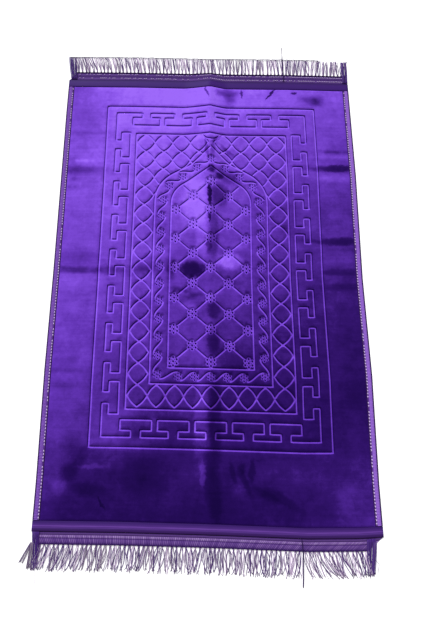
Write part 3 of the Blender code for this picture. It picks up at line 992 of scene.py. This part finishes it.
fringe = dict(pitch=0.0093, strands=5, radius=0.00074, root=0.0010, middle=0.0019, tip=0.0015)

# across, sideways travel of the tips at the far end, the same at the near end
leans = np.array([
    (-0.350, -0.0100, -0.0200), (-0.335, -0.0120, -0.0150), (-0.300, -0.0130, -0.0130),
    (-0.200, -0.0100, -0.0080),
    (-0.100, -0.0060, -0.0030), (0.050, -0.0015, 0.0000), (0.186, 0.0005, -0.0010), (0.197, 0.0006, 0.0190),
    (0.225, 0.0010, 0.0260), (0.262, 0.0020, 0.0160), (0.285, 0.0025, 0.0120), (0.350, 0.0040, 0.0050),
])


def makeYarns(end, finish):
    h, f = headings[end], fringe
    outwards = h["outwards"]
    edge = 0.0 if outwards < 0 else rug["pileLength"]
    rootOut = rug["bandWidth"] + rug["headingWidth"] - 0.0012
    span = h["rootTo"] - h["rootFrom"] - f["pitch"]
    bunches = round(span / f["pitch"])
    hand = random.Random(31 if end == "near" else 32)
    clump, loose, sway = (0.0022, 1.7, 0.0012) if end == "near" else (0.0020, 1.1, 0.0004)
    routes = []
    for i in range(bunches + 1):
        x = h["rootFrom"] + f["pitch"] / 2 + span * i / bunches + hand.gauss(0, 0.0004)
        # tips draw together in clumps, and leave gaps between
        lean = float(column(leans, x, 1 if outwards > 0 else 2)) + hand.gauss(0, 0.0014 * loose)
        lean += clump * (math.sin(x / 0.0385 * 2 * math.pi + 1.1) + 0.7 * math.sin(x / 0.0237 * 2 * math.pi))
        order = list(range(f["strands"]))
        hand.shuffle(order)
        tone = hand.random()
        middleSpread = f["middle"] * loose * hand.uniform(0.7, 1.2)
        locked = end == "far" and x < 0.28
        for j in range(f["strands"]):
            off, mixed = j - (f["strands"] - 1) / 2, order[j] - (f["strands"] - 1) / 2
            length = h["yarnLength"] * (hand.uniform(0.96, 1.0) if locked else hand.uniform(0.86, 1.02))
            tipSpread = f["tip"] * (1.6 if locked else loose * hand.uniform(0.4, 1.5))
            radius = f["radius"] * hand.uniform(0.75, 1.15)
            lift = 0.0009 + 0.0008 * hand.random()
            places = (
                (x + off * f["root"] * 0.9, edge + outwards * rootOut, 0.0012, radius),
                (x + lean * 0.36 + mixed * middleSpread * 0.8 + hand.gauss(0, 0.0007),
                 edge + outwards * (rootOut + length * 0.5), radius + lift, radius),
                (x + lean + (mixed if locked else off) * tipSpread + hand.gauss(0, 0.0008),
                 edge + outwards * (rootOut + length), radius + 0.0001, radius * 0.8),
            )
            light = hand.random() < (0.36 if end == "far" else 0.30)
            strandTone = hand.uniform(0.62, 1.0) if light else 0.25 * tone + hand.uniform(0.0, 0.32)
            route, bend = throughPlaces(places, 9), hand.gauss(0, sway)
            for step, place in enumerate(route):
                place[0] += bend * math.sin(2 * math.pi * step / 8)
            routes.append((route, (strandTone, hand.random(), 0)))
    return tubePiece("yarns" + end.capitalize(), routes, finish, 5)


def makeRootChain(end, finish):
    # dark chained thread that holds the yarns along the heading's edge
    h = headings[end]
    edge = 0.0 if h["outwards"] < 0 else rug["pileLength"]
    out = rug["bandWidth"] + rug["headingWidth"] - 0.0008
    left, right = max(h["rootFrom"], -0.3488), min(h["rootTo"], 0.3488)
    count = round((right - left) / 0.0012)
    routes = []
    for strand in (-1, 1):
        line = []
        for i in range(count + 1):
            x = left + (right - left) * i / count
            wave = math.sin(x / 0.0046 * 2 * math.pi) * strand
            line.append((x, edge + h["outwards"] * (out + 0.00045 * wave), 0.0019 + 0.0003 * wave, 0.00062))
        routes.append((line, (0.0, 0.5, 0)))
    return tubePiece("rootChain" + end.capitalize(), routes, finish, 5)


def stitchRow(routes, start, end, pitch, length, height, slope, radius, shade, keepShare=1.0, seed=5):
    # short threads dipping into the cloth, one after another
    a, b = np.array(start, float), np.array(end, float)
    whole = np.linalg.norm(b - a)
    unit = (b - a) / whole
    across = np.array([-unit[1], unit[0]])
    hand = random.Random(seed)
    for i in range(int(whole / pitch)):
        kept = hand.random() < (keepShare(i * pitch / whole) if callable(keepShare) else keepShare)
        wander = hand.gauss(0, 0.00015)
        if not kept:
            continue
        head = a + unit * (i * pitch + 0.0005) + across * (wander - slope / 2)
        tail = head + unit * length + across * slope
        middle = (head + tail) / 2
        routes.append(([(*head, height - radius, radius * 0.8), (*middle, height + radius * 0.5, radius),
                        (*tail, height - radius, radius * 0.8)], shade))


def makeSideStitches(name, side, finish):
    routes = []
    inner = rug["width"] / 2 - 0.0126
    b, height, end = binding, rug["squeezedTop"] + 0.0016, rug["pileLength"] - 0.003
    for offset, slope, seed in ((0.0, 0.0009, 6), (0.0009, -0.0006, 6)):
        x = side * (inner + offset)
        stitchRow(routes, (x, 0.003), (x, end), b["stitchPitch"], b["stitchLength"], height, slope, 0.00068,
                  (0.9, 0.5, 0), 0.93, seed)
    return tubePiece(name, routes, finish, 4)


def makeHeadingStitches(end, finish):
    h = headings[end]
    edge = 0.0 if h["outwards"] < 0 else rug["pileLength"]
    routes = []
    rows = ((0.27, 0.0030), (0.73, 0.0028)) if end == "far" else ()
    for share, length in rows:
        out = rug["bandWidth"] + share * rug["headingWidth"]
        y = edge + h["outwards"] * out
        stitchRow(routes, (-0.330, y), (0.343, y), 0.0044, length, trimBase(out) + 0.0020, 0.0003, 0.00090,
                  (0.85, 0.5, 0), lambda share: 0.42 + 0.52 * share, 8 + int(share * 10))
    return tubePiece("headingStitches" + end.capitalize(), routes, finish, 4) if routes else None


def makeTipThread(finish):
    # thin dark thread caught across the far tips
    y = rug["pileLength"] + rug["bandWidth"] + rug["headingWidth"] + rug["yarnLength"] - 0.0020
    hand = random.Random(41)
    line = []
    x = -0.352
    while x < 0.282:
        line.append((x, y + hand.gauss(0, 0.00035), 0.0018 + hand.uniform(0, 0.0004), 0.00085))
        x += 0.004
    return tubePiece("tipThreadFar", [(line, (0.05, 0.5, 0))], finish, 5)


# loose ends: end, shade, then (across, out from the pile's edge, height, thickness radius) places in mm
looseEnds = (
    ("far", 0.00, ((189, 24, 4.2, 1.3), (189, 46, 3.2, 1.4), (188, 88, 2.2, 1.3), (188.5, 106, 0.9, 0.6),
                   (188, 116, 0.7, 0.6), (188, 126, 0.9, 0.9))),
    ("near", 0.00, ((187, 21, 4.2, 0.9), (188.5, 46, 3.2, 1.1), (188, 76, 2.2, 1.1), (187, 94, 1.6, 1.3),
                    (186, 107, 1.5, 1.2))),
    ("near", 0.85, ((-338, 62, 2.0, 0.35), (-337, 88, 1.2, 0.35), (-336, 102, 0.8, 0.3),
                    (-335, 114, 0.6, 0.3))),
    ("near", 0.65, ((326, 55, 1.5, 0.45), (332, 62, 1.0, 0.45), (337, 68, 0.8, 0.4), (333, 85, 0.6, 0.35))),
    ("near", 0.60, ((222, 52, 1.8, 0.5), (224, 64, 1.2, 0.5), (231, 74, 1.0, 0.5), (232, 84, 0.9, 0.45),
                    (237, 93, 0.8, 0.4))),
    ("far", 0.35, ((-345, 60, 2.5, 0.5), (-348, 80, 1.2, 0.5), (-352, 91, 0.8, 0.4))),
)


def makeLooseEnds(finish):
    routes = []
    for end, shade, places in looseEnds:
        outwards = headings[end]["outwards"]
        edge = 0.0 if outwards < 0 else rug["pileLength"]
        turned = [(x * mm, edge + outwards * out * mm, z * mm, r * mm) for x, out, z, r in places]
        routes.append((throughPlaces(turned, 16), (shade, 0.5, 0)))
    return tubePiece("looseThreads", routes, finish, 6)


# turned-under trim ends and the bunches that hang from them:
# end, root across, tip across, first and last out, half spread at root and tip (mm), strands, shade
bundles = (
    ("near", -341, -338, 20, 91, 7.0, 5.5, 18, 0.10),
    ("near", -346, -351, 40, 90, 3.0, 4.5, 10, 0.50),
    ("near", -347, -366, 40, 80, 2.5, 5.0, 8, 0.45),
    ("near", 325, 319, 22, 90, 9.0, 6.5, 22, 0.08),
    ("near", 331, 323, 28, 88, 4.0, 5.0, 10, 0.20),
    ("far", -337, -347, 22, 91, 7.0, 9.0, 20, 0.00),
    ("far", 343, 344.5, 22, 87, 6.2, 6.2, 24, 0.06),
)


def makeBundles(finish):
    hand = random.Random(51)
    routes = []
    for end, rootX, tipX, first, last, rootHalf, tipHalf, strands, shade in bundles:
        outwards = headings[end]["outwards"]
        edge = 0.0 if outwards < 0 else rug["pileLength"]
        for j in range(strands):
            off = -1 + 2 * (j + 0.5) / strands
            mixed = max(-1, min(1, off + hand.gauss(0, 0.25)))
            radius = hand.uniform(0.60, 0.85)
            stack = 1.9 + 1.4 * (1 - off * off) * hand.random()
            reach = last - hand.uniform(0, 5)
            middleX = (rootX + tipX) / 2 + mixed * (rootHalf + tipHalf) / 2 + hand.gauss(0, 0.4)
            places = [
                (rootX + off * rootHalf, first, 2.9, radius),
                (middleX, (first + reach) / 2, stack, radius),
                (tipX + mixed * tipHalf, reach, radius + 0.2, radius * 0.7),
            ]
            cut = [(x * mm, edge + outwards * out * mm, z * mm, r * mm) for x, out, z, r in places]
            routes.append((throughPlaces(cut, 11), (min(1, shade + 0.25 * hand.random()), hand.random(), 0)))
    return tubePiece("trimEndBunches", routes, finish, 5)


# finishes
def velvetPlush():
    # polyester plush, cut pile, heat pressed: deep violet into the pile, lighter where it is laid flat with
    # painted sheen there, and painted light and shade from the shade attribute: brighter towards the far end,
    # lit and shaded groove walls, shaded tufts
    finish, tree, shader = newFinish("violetPlush")
    place = addNode(tree, "ShaderNodeTexCoord").outputs["Object"]
    shade = addNode(tree, "ShaderNodeAttribute", attribute_name="shade").outputs["Color"]
    # red: painted light over the pile with the nap; green: painted light and shade of the carving
    tone, carvedLightAndShade = addNode(tree, "ShaderNodeSeparateColor", {"Color": shade}).outputs[:2]
    blotches = addNode(tree, "ShaderNodeTexNoise",
                       {"Vector": place, "Scale": 1 / 0.050, "Detail": 4.0, "Roughness": 0.6})
    stretched = addNode(tree, "ShaderNodeMapping",
                        {"Vector": place, "Scale": (5.0, 70.0, 1.0)}).outputs["Vector"]
    streaks = addNode(tree, "ShaderNodeTexNoise",
                      {"Vector": stretched, "Scale": 2.2, "Detail": 3.0}).outputs["Fac"]
    mottle = addNode(tree, "ShaderNodeTexNoise",
                     {"Vector": place, "Scale": 1 / 0.013, "Detail": 3.0, "Distortion": 0.8})
    tufts = addNode(tree, "ShaderNodeTexNoise",
                    {"Vector": place, "Scale": 1 / 0.0022, "Detail": 2.0}).outputs["Fac"]
    # the patches' edges wander as brushed pile does
    wander = addNode(tree, "ShaderNodeTexNoise",
                     {"Vector": place, "Scale": 1 / 0.014, "Detail": 4.0, "Roughness": 0.7})
    centred = addNode(tree, "ShaderNodeVectorMath",
                      {0: wander.outputs["Color"], 1: (0.5, 0.5, 0.5)}, operation="SUBTRACT")
    moved = addNode(tree, "ShaderNodeVectorMath",
                    {0: centred.outputs[0], 1: (0.018, 0.014, 0.0), 2: place}, operation="MULTIPLY_ADD")
    value = tone
    # the crisp patches, among them the painted shade and light along the fold's crest
    for x, y, wide, long, turn, soft, change in napPatches:
        if soft >= crispest:
            continue
        middle = layAll([(x * mm, y * mm, 0.0)])[0]
        local = addNode(tree, "ShaderNodeMapping", {
            "Vector": moved.outputs[0], "Location": (middle[0], middle[1], 0.0),
            "Rotation": (0.0, 0.0, math.radians(turn)),
            "Scale": (wide * mm, long * mm, 1.0)}, vector_type="TEXTURE")
        away = addNode(tree, "ShaderNodeVectorMath",
                       {0: local.outputs[0]}, operation="LENGTH").outputs["Value"]
        edge = {"Value": away, 1: 1 - soft, 2: 1 + soft, 3: 1.0, 4: 0.0}
        inside = addNode(tree, "ShaderNodeMapRange", edge, interpolation_type="SMOOTHSTEP").outputs[0]
        value = addNode(tree, "ShaderNodeMath",
                        {0: inside, 1: change, 2: value}, operation="MULTIPLY_ADD").outputs[0]
    grains = ((blotches.outputs["Fac"], 0.34), (mottle.outputs["Fac"], 0.16), (streaks, 0.10), (tufts, 0.08))
    for grain, amount in grains:
        centredGrain = addNode(tree, "ShaderNodeMath", {0: grain, 1: 0.5}, operation="SUBTRACT").outputs[0]
        value = addNode(tree, "ShaderNodeMath",
                        {0: centredGrain, 1: amount, 2: value}, operation="MULTIPLY_ADD").outputs[0]
    # painted sheen on groove floors, painted light and shade on walls, painted shade on tufts
    reliefLightAndShade = addNode(tree, "ShaderNodeMath", {0: carvedLightAndShade, 1: 0.5}, operation="SUBTRACT").outputs[0]
    reliefLightAndShade = addNode(tree, "ShaderNodeMath", {0: reliefLightAndShade, 1: 2.0}, operation="MULTIPLY").outputs[0]
    value = addNode(tree, "ShaderNodeMath", {0: value, 1: reliefLightAndShade}, operation="ADD", use_clamp=True).outputs[0]
    colour = addNode(tree, "ShaderNodeValToRGB", {"Fac": value}, (
        (0.0, "#160242"), (0.2, "#230756"), (0.35, "#32116C"), (0.5, "#4B2391"), (0.65, "#6233B4"),
        (0.8, "#7A47D4"), (0.9, "#8C56EC"), (1.0, "#9D68FA")))
    tree.links.new(colour.outputs["Color"], shader.inputs["Base Color"])
    bump = addNode(tree, "ShaderNodeBump", {"Strength": 0.30, "Distance": 0.0005, "Height": tufts})
    tree.links.new(bump.outputs["Normal"], shader.inputs["Normal"])
    shader.inputs["Roughness"].default_value = 0.9
    shader.inputs["Specular IOR Level"].default_value = 0.05
    shader.inputs["Sheen Weight"].default_value = 0.06
    shader.inputs["Sheen Roughness"].default_value = 0.5
    shader.inputs["Sheen Tint"].default_value = srgb("#9A70FF")
    return finish


def threadFinish(name, stops, roughness, sheen, grain, mottle=0.35):
    # spun or overlocked polyester thread: a soft, slightly shiny lay with each thread its own tone
    finish, tree, shader = newFinish(name)
    place = addNode(tree, "ShaderNodeTexCoord").outputs["Object"]
    shade = addNode(tree, "ShaderNodeAttribute", attribute_name="shade").outputs["Color"]
    # the shade attribute: each thread's own tone, and on bindings and headings painted shade too
    tone = addNode(tree, "ShaderNodeSeparateColor", {"Color": shade}).outputs["Red"]
    fibres = addNode(tree, "ShaderNodeTexNoise",
                     {"Vector": place, "Scale": 1 / grain, "Detail": 2.0}).outputs["Fac"]
    centred = addNode(tree, "ShaderNodeMath", {0: fibres, 1: 0.5}, operation="SUBTRACT").outputs[0]
    uneven = addNode(tree, "ShaderNodeMath", {0: centred, 1: mottle}, operation="MULTIPLY").outputs[0]
    value = addNode(tree, "ShaderNodeMath", {0: tone, 1: uneven}, operation="ADD", use_clamp=True).outputs[0]
    colour = addNode(tree, "ShaderNodeValToRGB", {"Fac": value}, stops)
    tree.links.new(colour.outputs["Color"], shader.inputs["Base Color"])
    bump = addNode(tree, "ShaderNodeBump", {"Strength": 0.4, "Distance": 0.0003, "Height": fibres})
    tree.links.new(bump.outputs["Normal"], shader.inputs["Normal"])
    shader.inputs["Roughness"].default_value = roughness
    shader.inputs["Specular IOR Level"].default_value = 0.15
    shader.inputs["Sheen Weight"].default_value = sheen
    return finish


def overlockFinish():
    # close overlock in lilac thread, dark where it turns over the edge, with painted shade beside the pile,
    # in the stitch-hole row and between the ribs
    return threadFinish("lilacOverlock", (
        (0.0, "#9C6CD8"), (0.3, "#8558C0"), (0.6, "#5C3590"), (1.0, "#2C1048")), 0.8, 0.05, 0.0030, 0.45)


def satinFinish(name, stops):
    # woven satin tape: dull dark aubergine, its floats drawn along it, darker at its edge by the pile, with
    # painted shade at its outer edge where it turns down, and on the near tape painted highlight along its
    # raised lines
    finish, tree, shader = newFinish(name)
    place = addNode(tree, "ShaderNodeTexCoord").outputs["Object"]
    shade = addNode(tree, "ShaderNodeAttribute", attribute_name="shade").outputs["Color"]
    acrossTape = addNode(tree, "ShaderNodeSeparateColor", {"Color": shade}).outputs["Red"]
    stretched = addNode(tree, "ShaderNodeMapping",
                        {"Vector": place, "Scale": (12.0, 420.0, 1.0)}).outputs["Vector"]
    floats = addNode(tree, "ShaderNodeTexNoise",
                     {"Vector": stretched, "Scale": 2.0, "Detail": 2.0}).outputs["Fac"]
    centred = addNode(tree, "ShaderNodeMath", {0: floats, 1: 0.5}, operation="SUBTRACT").outputs[0]
    value = addNode(tree, "ShaderNodeMath",
                    {0: centred, 1: 0.14, 2: acrossTape}, operation="MULTIPLY_ADD", use_clamp=True)
    colour = addNode(tree, "ShaderNodeValToRGB", {"Fac": value.outputs[0]}, stops)
    tree.links.new(colour.outputs["Color"], shader.inputs["Base Color"])
    bump = addNode(tree, "ShaderNodeBump", {"Strength": 0.25, "Distance": 0.0003, "Height": floats})
    tree.links.new(bump.outputs["Normal"], shader.inputs["Normal"])
    shader.inputs["Roughness"].default_value = 0.6
    shader.inputs["Specular IOR Level"].default_value = 0.12
    return finish


def headingFinish():
    # warp-knitted trim heading, mauve, its ribs paler than the painted shade between them and the dark
    # stitched lines
    return threadFinish("mauveHeading", (
        (0.0, "#A78CC4"), (0.35, "#745298"), (0.6, "#563682"), (0.8, "#44246C"), (1.0, "#2A0E50"),
    ), 0.85, 0.05, 0.0013)


def yarnFinish():
    # fine spun yarns from dark violet to grey mauve
    return threadFinish("mauveYarn", (
        (0.0, "#36205C"), (0.25, "#56367E"), (0.5, "#6E5C7A"), (0.75, "#A48CB2"), (1.0, "#DCC8E4"),
    ), 0.85, 0.05, 0.0009)


def darkThreadFinish():
    # sewing thread and folded trim, dark violet
    return threadFinish("darkThread", (
        (0.0, "#2C1050"), (0.25, "#4A2682"), (0.55, "#6A5A78"), (0.8, "#9C90A6"), (1.0, "#C8BCD0"),
    ), 0.8, 0.05, 0.0009)


def paleThreadFinish():
    # lilac sewing thread
    return threadFinish("paleThread", ((0.0, "#8460BC"), (1.0, "#DCC4F4")), 0.7, 0.05, 0.0010)


# making it
finishes = dict(
    plush=velvetPlush(), overlock=overlockFinish(), heading=headingFinish(), yarn=yarnFinish(),
    dark=darkThreadFinish(), pale=paleThreadFinish(),
    # near tape: painted shade at its outer edge, painted highlight over its raised lines
    near=satinFinish("aubergineSatinNear", (
        (0.0, "#2A0C58"), (0.15, "#3A1A6A"), (0.38, "#4E2A80"), (0.46, "#6A409E"), (0.54, "#4C287C"),
        (0.62, "#563288"), (0.72, "#3C1E66"), (0.90, "#341658"), (0.97, "#1E0838"), (1.0, "#180430"))),
    # far tape: painted shade at its outer edge
    far=satinFinish("aubergineSatinFar", (
        (0.0, "#24064E"), (0.08, "#36126A"), (0.5, "#3C1672"), (0.88, "#341264"), (1.0, "#1C0444"))),
)

cloth = makePileCloth(finishes["plush"])
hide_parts("pile_cloth")

extras = []
for name, side in (("Left", -1), ("Right", 1)):
    strip = makeBinding("sideBinding" + name, side, finishes["overlock"])
    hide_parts("side_binding_" + name.lower())
    stitches = makeSideStitches("sideStitches" + name, side, finishes["pale"])
    extras += [strip, stitches]
print("side bindings made")

for end in ("near", "far"):
    tape = makeBand("endBand" + end.capitalize(), headings[end]["outwards"], finishes[end])
    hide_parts("end_band_" + end)
    heading = makeHeading(end, finishes["heading"])
    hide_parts("fringe_" + end)
    yarns = makeYarns(end, finishes["yarn"])
    chain = makeRootChain(end, finishes["dark"])
    extras += [tape, heading, yarns, chain]
    stitches = makeHeadingStitches(end, finishes["pale"])
    if stitches:
        extras.append(stitches)
print("end bands and fringes made")

for makeThreads in (makeTipThread, makeLooseEnds, makeBundles):
    piece = makeThreads(finishes["dark"])
    extras.append(piece)
print("loose threads made")

for piece in [cloth] + extras:
    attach(piece, "root")

# floor, light and camera
studio = dict(
    floorSize=30.0, floorColour="#FFFFFF", floorGlow=0.35, worldColour="#FFFFFF", worldStrength=0.47,
    sunStrength=2.6, sunSoftness=16.0, sunHeight=40.0, sunTurn=24.0,
)

deselectAll()
bpy.ops.mesh.primitive_plane_add(size=studio["floorSize"], location=(0, 0, 0))
floor = bpy.context.object
floor.name = "studioFloor"
floorFinish, _, floorShader = newFinish("paleFloor")
floorShader.inputs["Base Color"].default_value = srgb(studio["floorColour"])
floorShader.inputs["Roughness"].default_value = 0.9
floorShader.inputs["Emission Color"].default_value = srgb(studio["floorColour"])
floorShader.inputs["Emission Strength"].default_value = studio["floorGlow"]
floor.data.materials.append(floorFinish)

# one large soft light, low beyond the far left corner
sun = bpy.data.lights.new("softSun", "SUN")
sun.energy, sun.angle = studio["sunStrength"], math.radians(studio["sunSoftness"])
lamp = bpy.data.objects.new("softSun", sun)
lamp.rotation_euler = (math.radians(studio["sunHeight"] - 90), 0.0, math.radians(studio["sunTurn"]))
bpy.context.scene.collection.objects.link(lamp)

world = bpy.data.worlds.new("studioWorld")
world.use_nodes = True
world.node_tree.nodes["Background"].inputs["Color"].default_value = srgb(studio["worldColour"])
world.node_tree.nodes["Background"].inputs["Strength"].default_value = studio["worldStrength"]
bpy.context.scene.world = world
bpy.context.scene.view_settings.view_transform = "Standard"

# the viewer stands at the near end and looks down, leaning forwards a little
viewer = dict(across=0.0058, along=0.1827, height=0.9996, lean=13.756, lens=26.53)
lensData = bpy.data.cameras.new("viewer")
lensData.lens, lensData.sensor_width, lensData.sensor_fit = viewer["lens"], 36.0, "AUTO"
camera = bpy.data.objects.new("viewer", lensData)
camera.location = Vector((viewer["across"] + shift[0], viewer["along"] + shift[1], viewer["height"]))
camera.rotation_euler = (math.radians(viewer["lean"]), 0.0, 0.0)
bpy.context.scene.collection.objects.link(camera)
bpy.context.scene.camera = camera
print("studio and camera set")
